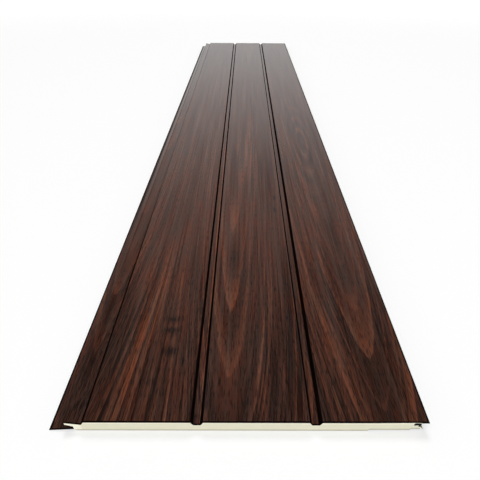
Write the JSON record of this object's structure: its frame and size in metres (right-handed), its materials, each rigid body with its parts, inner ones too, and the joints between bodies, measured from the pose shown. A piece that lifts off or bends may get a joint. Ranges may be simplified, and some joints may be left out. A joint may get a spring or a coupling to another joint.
{
  "type": "insulated metal siding plank",
  "caption": "Insulated metal siding plank: a wood-print steel face with pressed board grooves, tongue, fixing flange and hem, over a foil-backed rigid foam core.",
  "frame": {"origin": "centre of the plank's length and overall width, on the surface that its back lies on", "axes": "+Y along the plank, +X across it from the fixing flange to the hem, +Z out of the printed face"},
  "size_m": [0.409, 2, 0.016],
  "materials": {
    "printed_sheet": "steel sheet with a dark walnut print running along the plank, semi-gloss clear coat",
    "foam": "cream rigid foam, fine closed cells, sawn ends",
    "foil": "dull embossed backing foil",
    "seal": "matt black rubber"
  },
  "bodies": {
    "root": {"face_sheet": "printed_sheet", "foam_core": "foam", "backing_foil": "foil", "seal_strip": "seal"}
  },
  "joints": []
}
